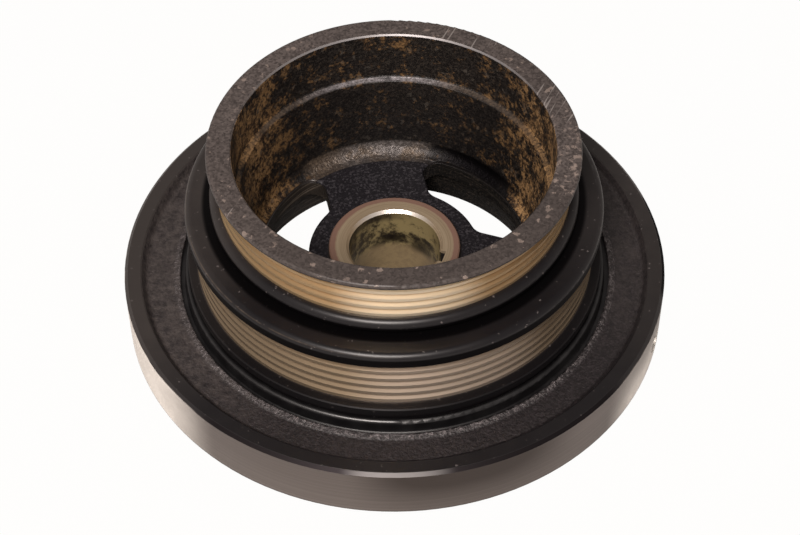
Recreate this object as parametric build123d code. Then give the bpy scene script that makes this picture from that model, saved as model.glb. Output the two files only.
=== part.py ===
from build123d import *
import math
import os

# Harmonic balancer of a piston engine: a cast hub with two V-ribbed belt tracks,
# an outer inertia ring, and the rubber ring that joins the two.
# Units are millimetres. +Z is the shaft axis and points to the open front.
# The origin is on the axis, in the plane of the boss's rear face.

# --- belt tracks (V-ribbed belt, PK profile) -------------------------------------
RIB_PITCH = 3.56
RIB_FLANK_ANGLE = 20.0       # each flank to the radial plane
GROOVE_DEPTH = 2.6
GROOVE_ROOT = 0.45           # flat at the bottom of a groove
TRACK_EDGE = 2.5             # centre of an end groove to the end of its track
FRONT_TRACK_RADIUS = 59.8
FRONT_TRACK_GROOVES = 4
REAR_TRACK_RADIUS = 69.0
REAR_TRACK_GROOVES = 5
TRACK_FOOT_RISE = 0.25       # slope of a flange foot beside a track

# --- flanges, from the front to the rear; heights stand above the nearer track -------
LIP_HEIGHT = 2.9             # cup lip in front of the front track
LIP_THICKNESS = 2.3
LIP_ROUND = 1.0
COLLAR_HEIGHT = 3.0          # rounded collar behind the front track
COLLAR_THICKNESS = 4.2
COLLAR_ROUND = 2.6
NECK_HEIGHT = 0.8            # shadow groove between the collar and the middle flange
NECK_WIDTH = 2.0
MIDDLE_FLANGE_HEIGHT = 2.6
MIDDLE_FLANGE_THICKNESS = 6.88
MIDDLE_FLANGE_ROUND = 2.4
MIDDLE_FLANGE_TAPER = 1.5    # rise of its rear face from the track to its edge
REAR_FLANGE_HEIGHT = 3.3
REAR_FLANGE_THICKNESS = 3.3
REAR_FLANGE_GAP = 1.8        # clear gap between the rear flange and the inertia ring
EDGE_BREAK = 0.4             # small turned edge breaks

# --- inside of the cup -----------------------------------------------------------
CUP_WALL = 5.55              # crests of the front track to the turned mouth
MOUTH_CHAMFER = 0.6
MOUTH_DEPTH = 19.2           # rim to the ledge
LEDGE_WIDTH = 2.0            # step from the turned mouth to the cast wall
LEDGE_DROP = 1.1
CUP_DRAFT_ANGLE = 4.6        # cast wall below the ledge
CUP_FILLET = 4.8             # cast wall to the web

# --- web, spokes and boss ---------------------------------------------------------
WEB_FRONT = 28.6             # height of the front face of the web
WEB_THICKNESS = 7.2
SPOKE_COUNT = 3
SPOKE_HALF_WIDTH = 18.0
WINDOW_INNER_RADIUS = 30.2
WINDOW_INSET = 2.67          # foot of the cast wall to the outer edge of a window
WINDOW_CORNER = 5.5
WINDOW_EDGE_ROUND = 0.9
BOSS_WALL = 7.0              # bore to the outside of the boss
BOSS_RISE = 3.0              # clamping face for the crank bolt, above the web
BOSS_FOOT_FILLET = 0.9
BORE_RADIUS = 16.0
BORE_CHAMFER = 1.0
KEYWAY_WIDTH = 5.0
KEYWAY_DEPTH = 2.2
KEYWAY_ANGLE = -18.5         # direction of the keyway from +X, with one spoke over it

# --- rear of the hub --------------------------------------------------------------
SEAT_INSET = 0.9             # cylinder that carries the rubber, below the rear flange
SEAT_REAR_INSET = 1.2        # rear edge of the hub's outer wall, in from the ring's rear face
RECESS_CLEARANCE = 4.22      # outer edge of a window to the end of the rear recess
RECESS_DRAFT_ANGLE = 5.0
RECESS_FILLET = 2.0

# --- rubber ring --------------------------------------------------------------------
RUBBER_THICKNESS = 4.2
RUBBER_BEAD_WIDTH = 2.3      # raised bead against the seat
RUBBER_BEAD_RISE = 3.8       # bead above the cast annulus of the inertia ring
RUBBER_BEAD_ROUND = 1.1
RUBBER_GROOVE_DEPTH = 1.8    # rubber outside the bead, below that annulus
RUBBER_REAR_INSET = 1.0      # rear end of the rubber, in from the hub's rear edge

# --- inertia ring ---------------------------------------------------------------------
RING_LIFT = 4.2              # boss's rear face to the ring's rear face
RING_HEIGHT = 21.4           # ring's rear face to its turned front rim
RING_WIDTH = 19.4            # bore to the outside
RING_CHAMFER = 1.2
RING_RIM_WIDTH = 5.8         # turned front rim of the ring
RING_DISH_DEPTH = 3.7        # cast annulus below that rim
RING_DISH_SLOPE = 1.8        # run of the slope from the rim down to the annulus
RING_LIP_HEIGHT = 1.0        # raised inner edge of the annulus
RING_LIP_WIDTH = 2.8
RING_LIP_ROUND = 0.6
BALANCE_HOLE_RADIUS = 4.6
BALANCE_HOLE_DEPTH = 9.0
BALANCE_HOLE_HEIGHT = 9.2    # centre of the hole, above the ring's rear face
BALANCE_HOLE_ANGLE = -18.0   # direction of the hole from +X


# --- outlines --------------------------------------------------------------------------
def rounded_outline(corners):
    """Closed wire in the XZ plane through (radius, height, round) corners.

    A corner no larger than EDGE_BREAK is cut straight, as a turned edge break is.
    """
    starts = []
    ends = []
    middles = []
    count = len(corners)
    for index, (x, z, size) in enumerate(corners):
        here = Vector(x, 0, z)
        before = Vector(corners[index - 1][0], 0, corners[index - 1][1]) - here
        after_corner = corners[(index + 1) % count]
        after = Vector(after_corner[0], 0, after_corner[1]) - here
        if size == 0:
            starts.append(here)
            ends.append(here)
            middles.append(None)
            continue
        half_angle = math.radians(before.get_angle(after)) / 2
        reach = size / math.tan(half_angle)
        bisector = (before.normalized() + after.normalized()).normalized()
        starts.append(here + before.normalized() * reach)
        ends.append(here + after.normalized() * reach)
        middles.append(here + bisector * (size / math.sin(half_angle) - size))
    edges = []
    for index in range(count):
        if corners[index][2] > EDGE_BREAK:
            edges.append(ThreePointArc(starts[index], middles[index], ends[index]))
        elif corners[index][2] > 0:
            edges.append(Line(starts[index], ends[index]))
        follower = (index + 1) % count
        if (ends[index] - starts[follower]).length > 1e-6:
            edges.append(Line(ends[index], starts[follower]))
    return Wire(edges)


def turned(corners):
    """Solid of revolution about Z from a half section."""
    return revolve(Face(rounded_outline(corners)), Axis.Z, 360)


def track_length(grooves):
    """Axial length of a belt track."""
    return (grooves - 1) * RIB_PITCH + 2 * TRACK_EDGE


def track_outline(radius, start, grooves):
    """Corners of the V grooves, from the rear end of the track to its front end."""
    half_mouth = GROOVE_ROOT / 2 + GROOVE_DEPTH * math.tan(math.radians(RIB_FLANK_ANGLE))
    root_radius = radius - GROOVE_DEPTH
    corners = [(radius, start, 0)]
    for index in range(grooves):
        centre = start + TRACK_EDGE + index * RIB_PITCH
        corners.append((radius, centre - half_mouth, 0))
        corners.append((root_radius, centre - GROOVE_ROOT / 2, 0))
        corners.append((root_radius, centre + GROOVE_ROOT / 2, 0))
        corners.append((radius, centre + half_mouth, 0))
    corners.append((radius, start + track_length(grooves), 0))
    return corners


# --- derived radii -----------------------------------------------------------------------
rim_radius = FRONT_TRACK_RADIUS + LIP_HEIGHT
collar_radius = FRONT_TRACK_RADIUS + COLLAR_HEIGHT
neck_radius = FRONT_TRACK_RADIUS + NECK_HEIGHT
mouth_radius = FRONT_TRACK_RADIUS - CUP_WALL
middle_flange_radius = REAR_TRACK_RADIUS + MIDDLE_FLANGE_HEIGHT
rear_flange_radius = REAR_TRACK_RADIUS + REAR_FLANGE_HEIGHT
seat_radius = rear_flange_radius - SEAT_INSET
ring_inner_radius = seat_radius + RUBBER_THICKNESS
ring_radius = ring_inner_radius + RING_WIDTH
boss_radius = BORE_RADIUS + BOSS_WALL
bead_radius = seat_radius + RUBBER_BEAD_WIDTH

# --- derived heights ---------------------------------------------------------------------
ring_front = RING_LIFT + RING_HEIGHT
seat_start = RING_LIFT + SEAT_REAR_INSET
rear_flange_rear = ring_front + REAR_FLANGE_GAP
rear_track_start = rear_flange_rear + REAR_FLANGE_THICKNESS
rear_track_end = rear_track_start + track_length(REAR_TRACK_GROOVES)
middle_flange_front = rear_track_end + MIDDLE_FLANGE_THICKNESS
collar_rear = middle_flange_front + NECK_WIDTH
front_track_start = collar_rear + COLLAR_THICKNESS
front_track_end = front_track_start + track_length(FRONT_TRACK_GROOVES)
total_height = front_track_end + LIP_THICKNESS
ledge_top = total_height - MOUTH_DEPTH
ledge_foot = ledge_top - LEDGE_DROP
web_rear = WEB_FRONT - WEB_THICKNESS
boss_front = WEB_FRONT + BOSS_RISE
ring_dish_height = ring_front - RING_DISH_DEPTH
rubber_front = ring_dish_height + RUBBER_BEAD_RISE
rubber_groove_height = ring_dish_height - RUBBER_GROOVE_DEPTH
rubber_rear = seat_start + RUBBER_REAR_INSET

# --- derived walls of the cup and the recess -----------------------------------------------
cast_wall_top_radius = mouth_radius - LEDGE_WIDTH
cast_wall_run = (ledge_foot - WEB_FRONT) * math.tan(math.radians(CUP_DRAFT_ANGLE))
cast_wall_foot_radius = cast_wall_top_radius - cast_wall_run
window_outer_radius = cast_wall_foot_radius - WINDOW_INSET
window_corner = min(WINDOW_CORNER, (window_outer_radius - WINDOW_INNER_RADIUS) / 3)
recess_end_radius = window_outer_radius + RECESS_CLEARANCE
recess_run = (web_rear - seat_start) * math.tan(math.radians(RECESS_DRAFT_ANGLE))
recess_radius = recess_end_radius + recess_run


# --- hub -----------------------------------------------------------------------------------
def hub_outside():
    """Corners of the outer section, from the rear edge up to the lip of the cup."""
    rear_track = track_outline(REAR_TRACK_RADIUS, rear_track_start, REAR_TRACK_GROOVES)
    front_track = track_outline(FRONT_TRACK_RADIUS, front_track_start, FRONT_TRACK_GROOVES)
    return [
        (seat_radius - EDGE_BREAK, seat_start, 0),
        (seat_radius, seat_start + EDGE_BREAK, 0),
        (seat_radius, rear_flange_rear, 0),
        (rear_flange_radius, rear_flange_rear, 0),
        (rear_flange_radius, rear_track_start - TRACK_FOOT_RISE, EDGE_BREAK),
        *rear_track,
        (middle_flange_radius, rear_track_end + MIDDLE_FLANGE_TAPER, EDGE_BREAK),
        (middle_flange_radius, middle_flange_front, MIDDLE_FLANGE_ROUND),
        (neck_radius, middle_flange_front, 0),
        (neck_radius, collar_rear, 0),
        (collar_radius, collar_rear, EDGE_BREAK),
        (collar_radius, front_track_start + TRACK_FOOT_RISE, COLLAR_ROUND),
        *front_track,
        (rim_radius, front_track_end + TRACK_FOOT_RISE, EDGE_BREAK),
        (rim_radius, total_height, LIP_ROUND),
    ]


def hub_inside():
    """Corners of the inner section, from the mouth of the cup down to the recess."""
    return [
        (mouth_radius + MOUTH_CHAMFER, total_height, 0),
        (mouth_radius, total_height - MOUTH_CHAMFER, 0),
        (mouth_radius, ledge_top, EDGE_BREAK),
        (cast_wall_top_radius, ledge_foot, LEDGE_WIDTH / 2),
        (cast_wall_foot_radius, WEB_FRONT, CUP_FILLET),
        (boss_radius, WEB_FRONT, BOSS_FOOT_FILLET),
        (boss_radius, boss_front, EDGE_BREAK),
        (BORE_RADIUS + BORE_CHAMFER, boss_front, 0),
        (BORE_RADIUS, boss_front - BORE_CHAMFER, 0),
        (BORE_RADIUS, BORE_CHAMFER, 0),
        (BORE_RADIUS + BORE_CHAMFER, 0, 0),
        (boss_radius, 0, EDGE_BREAK),
        (boss_radius, web_rear, RECESS_FILLET),
        (recess_end_radius, web_rear, RECESS_FILLET),
        (recess_radius, seat_start, EDGE_BREAK),
    ]


def window_shape():
    """Kidney opening between two spokes, centred on +X."""
    opening = Circle(window_outer_radius) - Circle(WINDOW_INNER_RADIUS)
    half_pitch = 180 / SPOKE_COUNT
    reach = ring_radius
    spread = reach * math.tan(math.radians(half_pitch))
    sector = Polygon((0, 0), (reach, -spread), (reach, spread), align=None)
    spoke = Rectangle(reach, 2 * SPOKE_HALF_WIDTH, align=(Align.MIN, Align.CENTER))
    opening = opening & sector
    opening -= Rot(0, 0, half_pitch) * spoke
    opening -= Rot(0, 0, -half_pitch) * spoke
    return fillet(opening.vertices(), window_corner)


def window_cutters():
    """Through cuts that leave the spokes standing."""
    shape = window_shape()
    height = CUP_FILLET + WEB_THICKNESS + RECESS_FILLET
    cutter = extrude(Pos(0, 0, web_rear - RECESS_FILLET) * shape, height)
    step = 360 / SPOKE_COUNT
    first = KEYWAY_ANGLE + step / 2
    return [Rot(0, 0, first + index * step) * cutter for index in range(SPOKE_COUNT)]


def keyway_cutter():
    """Slot for the crank key, along the whole bore."""
    slot = Box(
        BORE_RADIUS + KEYWAY_DEPTH,
        KEYWAY_WIDTH,
        boss_front,
        align=(Align.MIN, Align.CENTER, Align.MIN),
    )
    return Rot(0, 0, KEYWAY_ANGLE) * slot


def window_edges(body):
    """Edges of the windows in the front face of the web, apart from those in the fillet."""
    edges = []
    for edge in body.edges().filter_by_position(Axis.Z, WEB_FRONT - 0.01, WEB_FRONT + 0.01):
        middle = edge.position_at(0.5)
        reach = math.hypot(middle.X, middle.Y)
        if WINDOW_INNER_RADIUS - 0.01 < reach < cast_wall_foot_radius - CUP_FILLET:
            edges.append(edge)
    return edges


def make_hub():
    """Cast hub: cup with both belt tracks, spoked web and bored boss."""
    body = turned(hub_outside() + hub_inside())
    for cutter in window_cutters():
        body -= cutter
    body = fillet(window_edges(body), WINDOW_EDGE_ROUND)
    return body - keyway_cutter()


# --- rubber ring ------------------------------------------------------------------------
def make_rubber_ring():
    """Bonded rubber ring with a rounded bead and a groove on its front end."""
    return turned([
        (seat_radius, rubber_rear, 0),
        (ring_inner_radius, rubber_rear, 0),
        (ring_inner_radius, rubber_groove_height, 0),
        (bead_radius, rubber_groove_height, EDGE_BREAK),
        (bead_radius, rubber_front, RUBBER_BEAD_ROUND),
        (seat_radius, rubber_front, RUBBER_BEAD_ROUND),
    ])


# --- inertia ring -------------------------------------------------------------------------
def make_inertia_ring():
    """Cast ring with a turned front rim, a dished face and one balance hole."""
    rim_inner_radius = ring_radius - RING_RIM_WIDTH
    body = turned([
        (ring_inner_radius + EDGE_BREAK, RING_LIFT, 0),
        (ring_radius - RING_CHAMFER, RING_LIFT, 0),
        (ring_radius, RING_LIFT + RING_CHAMFER, 0),
        (ring_radius, ring_front - RING_CHAMFER, 0),
        (ring_radius - RING_CHAMFER, ring_front, 0),
        (rim_inner_radius, ring_front, EDGE_BREAK),
        (rim_inner_radius - RING_DISH_SLOPE, ring_dish_height, RING_DISH_SLOPE),
        (ring_inner_radius + RING_LIP_WIDTH, ring_dish_height, RING_LIP_WIDTH / 2),
        (ring_inner_radius, ring_dish_height + RING_LIP_HEIGHT, RING_LIP_ROUND),
        (ring_inner_radius, RING_LIFT + EDGE_BREAK, 0),
    ])
    into_ring = (Align.CENTER, Align.CENTER, Align.MAX)
    hole = Cylinder(BALANCE_HOLE_RADIUS, BALANCE_HOLE_DEPTH, align=into_ring)
    hole_height = RING_LIFT + BALANCE_HOLE_HEIGHT
    place = Rot(0, 0, BALANCE_HOLE_ANGLE) * Pos(ring_radius, 0, hole_height) * Rot(0, 90, 0)
    return body - place * hole


# --- files ------------------------------------------------------------------------------------
def write(name, solid):
    """One STEP file for each piece."""
    solid.label = name
    export_step(solid, f"parts/{name}.step")


def main():
    os.makedirs("parts", exist_ok=True)
    write("pulley_hub", make_hub())
    write("rubber_ring", make_rubber_ring())
    write("inertia_ring", make_inertia_ring())


main()
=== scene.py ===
"""Finishes, floor, light and camera for a crankshaft harmonic balancer."""

import math

import bpy
from bpy.props import FloatProperty, FloatVectorProperty, PointerProperty
from mathutils import Matrix, Vector

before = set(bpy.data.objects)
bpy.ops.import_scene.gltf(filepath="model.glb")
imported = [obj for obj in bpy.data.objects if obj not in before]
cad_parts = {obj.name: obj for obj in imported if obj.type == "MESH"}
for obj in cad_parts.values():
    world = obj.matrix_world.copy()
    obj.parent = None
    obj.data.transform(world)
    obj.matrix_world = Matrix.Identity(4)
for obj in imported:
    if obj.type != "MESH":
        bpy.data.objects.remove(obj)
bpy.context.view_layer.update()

bl_info = {
    "name": "Harmonic balancer",
    "version": (1, 0, 0),
    "blender": (4, 5, 0),
    "location": "3D View > Sidebar > Balancer",
    "description": "Gives a crankshaft harmonic balancer its finishes and its studio",
    "category": "Material",
}

MILLIMETRE = 0.001

# Places on the turned section, in millimetres: radius from the shaft axis, height over the floor.
RIM_TOP = 81.0
RIM_INNER = 54.25
RIM_OUTER = 62.5
MOUTH_CHAMFER = 0.6
LEDGE_TOP = 61.8
LEDGE_FOOT = 60.7
WALL_TOP = 52.25
WEB_FRONT = 28.6
FILLET_FOOT = 44.1
BOSS_TOP = 31.6
BOSS_OUTER = 23.0
BORE = 16.0
BORE_CHAMFER = 1.0
INSIDE_BORE = 10.0
COPPER_INNER = (20.9, 21.8)
BORE_EDGE_FOOT = 27.5
BORE_PALE_START = (20.5, 23.0)
BORE_LOWER_END = (14.5, 18.5)
FAR_STAIN_HEIGHTS = (16.0, 20.0)
RIGHT_STAIN_HEIGHTS = (13.0, 20.0)
FRONT_TRACK = (63.1, 78.65)
FRONT_CREST = 59.8
REAR_TRACK = (30.75, 49.9)
REAR_CREST = 69.0
UNDER_GROOVES = 4.0
GROOVE_DEPTH = 2.6
FLANGE_TOP = 56.82
FLANGE_OUTER = 71.6
NECK = (56.0, 65.4)
REAR_FLANGE_OUTER = 73.0
REAR_FLANGE_FOOT = 25.0
COLLAR_MIDDLE = 60.4
RECESS_OUTER = 52.6
RING_TOP = 25.6
RING_FOOT = 4.2
RING_OUTER = 95.0
BEYOND_RING = 99.0
RING_CHAMFER = 1.2
RING_RIM_INNER = 89.2
DISH_TOP = 21.9
RING_INNER = 75.6
RING_LIP_TOP = 22.9
RING_LIP_WIDTH = 2.8

# Marks round the shaft, in degrees: the direction from +X towards +Y, and how far the mark fades to each
# side of it. Left, right, near and far are as the camera stands.
DUST_AND_LIGHT_LEFT = (172.0, 58.0)
DUST_AND_LIGHT_RIGHT = (14.0, 56.0)
DUST_AND_LIGHT_FAR = (90.0, 100.0)
RIM_DUST_AND_LIGHT_LEFT = (-170.0, 50.0)
RIM_DUST_AND_LIGHT_RIGHT = (0.0, 30.0)
RIM_DUST_AND_LIGHT_FAR = (95.0, 100.0)
RIM_DUST_AND_LIGHT_FAR_LEFT = (138.0, 22.0)
CHIPS_RIGHT = (-4.0, 32.0)
CHIPS_FAR_LEFT = (150.0, 28.0)
CHIPS_NEAR = (-60.0, 40.0)
SCRATCHES_FAR = (66.0, 15.0)
SCRATCHES_RIGHT = (21.0, 15.0)
RUST_LEFT = (178.0, 50.0)
RUST_RIGHT = (4.0, 48.0)
RUST_FAR = (92.0, 14.0)
RUST_FAR_LEFT = (140.0, 26.0)
MOUTH_HIGHLIGHT = (90.0, 75.0)
LEDGE_LEFT = (174.0, 30.0)
LEDGE_RIGHT = (10.0, 30.0)
LEDGE_HIGHLIGHT = (97.0, 36.0)
FILLET_HIGHLIGHT = (102.5, 34.0)
FILLET_BROWN = (130.0, 24.0)
FILLET_SHADE = (52.0, 27.0)
FRONT_TRACK_HIGHLIGHT = (-85.0, 27.0)
REAR_TRACK_HIGHLIGHT = (-74.0, 32.0)
TRACK_RESIDUE = (-25.0, 52.0)
FLANGE_RUBBED = (205.0, 70.0)
FLANGE_SHADE = (-90.0, 24.0)
RECESS_LIT_LEFT = (160.0, 70.0)
BORE_CHAMFER_HIGHLIGHT = (92.0, 66.0)
BORE_PALE = (45.0, 55.0)
BORE_EDGE_UNSHADED = (45.0, 60.0)
BORE_FAR_STAIN = (92.0, 24.0)
BORE_RIGHT_STAIN = (52.0, 22.0)
DISH_LEFT = (178.0, 72.0)
DISH_RIGHT = (12.0, 46.0)
RING_STAIN_AND_SHADE = (-75.0, 26.0)
RING_STAIN_AND_SHADE_WIDE = (-95.0, 56.0)
RING_SHEEN_LEFT = (-160.0, 31.0)
RING_SHEEN_RIGHT = (-21.0, 21.0)
RING_RIGHT_SHADE = (3.0, 18.0)
RING_EDGE_HIGHLIGHT = (-89.5, 12.0)
RING_EDGE_SHADE_SPAN = (-85.5, 55.0)

# Textures: sizes in millimetres, the scratches' angle in degrees. A pair of sizes is the one round the shaft
# and the one along the section.
HUB_SAND = 1.5
RING_SAND = 1.7
GRIT = 0.65
FLECKS = 1.5
SPOTS = 2.6
CLOUD = 9.0
BLOOM = 6.0
RUBBER_SKIN = 0.5
LATHE = (110.0, 0.35)
LATHE_DEPTH = 0.012
RUST_STREAKS = (3.2, 15.0)
RECESS_ARCS = (50.0, 0.9)
PAINT_WAVES = (14.0, 400.0)
WRAP_RADIUS = 60.0
SCRATCH_ANGLE = 64.0
SCRATCH_STRETCH = (0.07, 1.0, 0.0)

# Levels: what the textures span, where a coat breaks away, and how the surfaces reflect.
NOISE_RANGE = (0.3, 0.7)
COAT_EDGE = 0.82
COAT_EDGE_FALL = 0.5
HUB_SHINE = 0.34
RUBBER_SHINE = 0.8
# The next level belongs to the painted shade, a black sheet that hardly mirrors.
SHADE_METALLIC = 0.9

# Studio: places and sizes in metres, angles in radians, the camera's sensor in millimetres.
WHITE = (1.0, 0.993, 0.983)
FLOOR_SIZE = 6.0
FLOOR_GLOW = 0.985
SKY_OVERHEAD = 0.25
SKY_OVERHEAD_RANGE = (0.25, 0.85)
SKY_LEFT = 1.3
SKY_RIGHT = 0.85
SKY_ACROSS_RANGE = (-0.6, 0.8)
KEY_PLACE = (-0.12, -0.61, 0.805)
KEY_TARGET = (0.0, 0.0, 0.045)
KEY_SIZE = 0.36
CAMERA_PLACE = (0.0, -0.4789, 0.5581)
CAMERA_PITCH = 0.844
CAMERA_YAW = 0.004
CAMERA_ROLL = -0.004
SENSOR_WIDTH = 36.0


# --- node trees ------------------------------------------------------------------------
class Graph:
    """A node tree, with short calls for the nodes that the finishes use."""

    def __init__(self, tree):
        self.tree = tree

    def add(self, kind, **settings):
        """Adds a node and sets its properties."""
        made = self.tree.nodes.new(kind)
        for name, value in settings.items():
            setattr(made, name, value)
        return made

    def feed(self, socket, value):
        """Links a socket to another one, or writes a plain value into it."""
        if isinstance(value, bpy.types.NodeSocket):
            self.tree.links.new(value, socket)
        elif socket.type == "RGBA":
            socket.default_value = (*value, 1.0)
        else:
            socket.default_value = value

    def maths(self, operation, *values):
        made = self.add("ShaderNodeMath", operation=operation)
        for socket, value in zip(made.inputs, values):
            self.feed(socket, value)
        return made.outputs[0]

    def product(self, *values):
        result = values[0]
        for value in values[1:]:
            result = self.maths("MULTIPLY", result, value)
        return result

    def total(self, *values):
        result = values[0]
        for value in values[1:]:
            result = self.maths("ADD", result, value)
        return result

    def weigh(self, *parts):
        """Adds up the parts; a tuple is first multiplied out, so its last number is a share."""
        return self.total(*(self.product(*part) if isinstance(part, tuple) else part for part in parts))

    def vector(self, operation, *values, scale=None):
        made = self.add("ShaderNodeVectorMath", operation=operation)
        for socket, value in zip(made.inputs, values):
            self.feed(socket, value)
        if scale is not None:
            self.feed(made.inputs["Scale"], scale)
        return made.outputs["Value" if operation in ("LENGTH", "DOT_PRODUCT") else "Vector"]

    def combine(self, x, y, z):
        made = self.add("ShaderNodeCombineXYZ")
        for socket, value in zip(made.inputs, (x, y, z)):
            self.feed(socket, value)
        return made.outputs[0]

    def blend(self, mask, low, high):
        """Mixes two numbers or two colours by a mask."""
        is_colour = any(
            value.type == "RGBA" if isinstance(value, bpy.types.NodeSocket) else not isinstance(value, float)
            for value in (low, high)
        )
        made = self.add("ShaderNodeMix", data_type="RGBA" if is_colour else "FLOAT")
        start = 6 if is_colour else 2
        self.feed(made.inputs[0], mask)
        self.feed(made.inputs[start], low)
        self.feed(made.inputs[start + 1], high)
        return made.outputs[2 if is_colour else 0]

    def rise(self, value, start, end):
        """Goes smoothly from 0 at start to 1 at end."""
        made = self.add("ShaderNodeMapRange", interpolation_type="SMOOTHSTEP")
        for socket, number in zip(made.inputs, (value, start, end)):
            self.feed(socket, number)
        return made.outputs[0]

    def noise(self, place, size, detail=3.0, roughness=0.55):
        """Noise with features of a size in the units of the place."""
        made = self.add("ShaderNodeTexNoise")
        self.feed(made.inputs["Vector"], place)
        made.inputs["Scale"].default_value = 1.0 / size
        made.inputs["Detail"].default_value = detail
        made.inputs["Roughness"].default_value = roughness
        return made.outputs[0]

    def cells(self, place, size):
        """A random number for each of many small cells."""
        made = self.add("ShaderNodeTexVoronoi")
        self.feed(made.inputs["Vector"], place)
        made.inputs["Scale"].default_value = 1.0 / size
        split = self.add("ShaderNodeSeparateColor")
        self.feed(split.inputs[0], made.outputs["Color"])
        return split.outputs[0]

    def use(self, name, **values):
        """Places a node group and feeds its inputs."""
        made = self.add("ShaderNodeGroup", node_tree=bpy.data.node_groups[name])
        for key, value in values.items():
            self.feed(made.inputs[key.replace("_", " ").title()], value)
        return made.outputs


def new_group(name, inputs, outputs):
    """An empty node group with named sockets: its graph, its inputs and its outputs."""
    tree = bpy.data.node_groups.new(name, "ShaderNodeTree")
    for socket_name, default in inputs:
        socket = tree.interface.new_socket(socket_name, in_out="INPUT", socket_type="NodeSocketFloat")
        socket.default_value = default
    for socket_name, kind in outputs:
        tree.interface.new_socket(socket_name, in_out="OUTPUT", socket_type="NodeSocket" + kind)
    graph = Graph(tree)
    entry = graph.add("NodeGroupInput")
    leave = graph.add("NodeGroupOutput")
    return graph, entry.outputs, leave.inputs


def build_turned_place():
    """Where a point lies on the turned section, in millimetres, and its direction round the shaft."""
    distances = (("Radius", "Float"), ("Height", "Float"), ("Along", "Float"))
    graph, _, leave = new_group("Turned Place", (), (*distances, ("Around", "Vector"), ("Place", "Vector")))
    metres = graph.add("ShaderNodeTexCoord").outputs["Object"]
    place = graph.vector("SCALE", metres, scale=1.0 / MILLIMETRE)
    split = graph.add("ShaderNodeSeparateXYZ")
    graph.feed(split.inputs[0], place)
    across = graph.combine(split.outputs["X"], split.outputs["Y"], 0.0)
    radius = graph.vector("LENGTH", across)
    height = split.outputs["Z"]
    graph.feed(leave["Radius"], radius)
    graph.feed(leave["Height"], height)
    graph.feed(leave["Along"], graph.total(radius, height))
    graph.feed(leave["Around"], graph.vector("NORMALIZE", across))
    graph.feed(leave["Place"], place)


def build_band():
    """White between two values, with soft edges."""
    graph, entry, leave = new_group(
        "Band", (("Value", 0.0), ("Start", 0.0), ("End", 1.0), ("Soft", 0.1)), (("Mask", "Float"),)
    )
    half = graph.product(entry["Soft"], 0.5)
    opens = graph.rise(
        entry["Value"],
        graph.maths("SUBTRACT", entry["Start"], half),
        graph.maths("ADD", entry["Start"], half),
    )
    closes = graph.rise(
        entry["Value"],
        graph.maths("SUBTRACT", entry["End"], half),
        graph.maths("ADD", entry["End"], half),
    )
    graph.feed(leave["Mask"], graph.product(opens, graph.maths("SUBTRACT", 1.0, closes)))


def build_side():
    """White on one side of the part, fading round the shaft."""
    graph, entry, leave = new_group("Side", (("Angle", 0.0), ("Spread", 40.0)), (("Mask", "Float"),))
    angle = graph.maths("RADIANS", entry["Angle"])
    spread = graph.maths("RADIANS", entry["Spread"])
    facing = graph.combine(graph.maths("COSINE", angle), graph.maths("SINE", angle), 0.0)
    nearness = graph.vector("DOT_PRODUCT", graph.use("Turned Place")["Around"], facing)
    graph.feed(leave["Mask"], graph.rise(nearness, graph.maths("COSINE", spread), 1.0))


def build_wrapped_noise():
    """Noise that is stretched round the shaft or along the section, with no seam."""
    graph, entry, leave = new_group(
        "Wrapped Noise", (("Round Size", 10.0), ("Along Size", 1.0)), (("Value", "Float"),)
    )
    place = graph.use("Turned Place")
    turns = graph.maths("DIVIDE", WRAP_RADIUS, entry["Round Size"])
    turn = graph.vector("SCALE", place["Around"], scale=turns)
    along = graph.maths("DIVIDE", place["Along"], entry["Along Size"])
    vector = graph.vector("ADD", turn, graph.combine(0.0, 0.0, along))
    graph.feed(leave["Value"], graph.noise(vector, 1.0, detail=3.0, roughness=0.6))


def build_broken_coat():
    """Where a coat has broken away: spots of a noise over an edge that falls as the amount rises."""
    graph, entry, leave = new_group(
        "Broken Coat", (("Noise", 0.5), ("Amount", 0.3), ("Soft", 0.05)), (("Mask", "Float"),)
    )
    edge = graph.maths("SUBTRACT", COAT_EDGE, graph.product(entry["Amount"], COAT_EDGE_FALL))
    graph.feed(leave["Mask"], graph.rise(entry["Noise"], edge, graph.maths("ADD", edge, entry["Soft"])))


GROUP_BUILDERS = (build_turned_place, build_band, build_side, build_wrapped_noise, build_broken_coat)


def build_groups():
    """Builds each shared node group once."""
    if "Turned Place" not in bpy.data.node_groups:
        for build in GROUP_BUILDERS:
            build()


# --- finishes --------------------------------------------------------------------------
# A finish is a dictionary with the colour, roughness, metallic and height (in millimetres) of a surface.
CHANNELS = ("colour", "roughness", "metallic", "height")


def finish(colour, roughness, metallic=0.0, height=0.0):
    return dict(zip(CHANNELS, (colour, roughness, metallic, height)))


def cover(graph, under, over, mask):
    """Lays one finish over another where the mask is white."""
    return {channel: graph.blend(mask, under[channel], over[channel]) for channel in CHANNELS}


def band(graph, value, start, end, soft=0.15):
    """White between two values, with soft edges."""
    return graph.use("Band", value=value, start=start, end=end, soft=soft)["Mask"]


def side(graph, mark):
    """White in the direction of a mark round the shaft, fading to both sides of it."""
    angle, spread = mark
    return graph.use("Side", angle=angle, spread=spread)["Mask"]


def broken(graph, noise, amount, soft):
    """White where a coat has broken away."""
    return graph.use("Broken Coat", noise=noise, amount=amount, soft=soft)["Mask"]


def wrapped(graph, round_size, along_size):
    """Noise stretched round the shaft or along the section."""
    return graph.use("Wrapped Noise", round_size=round_size, along_size=along_size)["Value"]


def inverse(graph, mask):
    return graph.maths("SUBTRACT", 1.0, mask)


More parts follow.
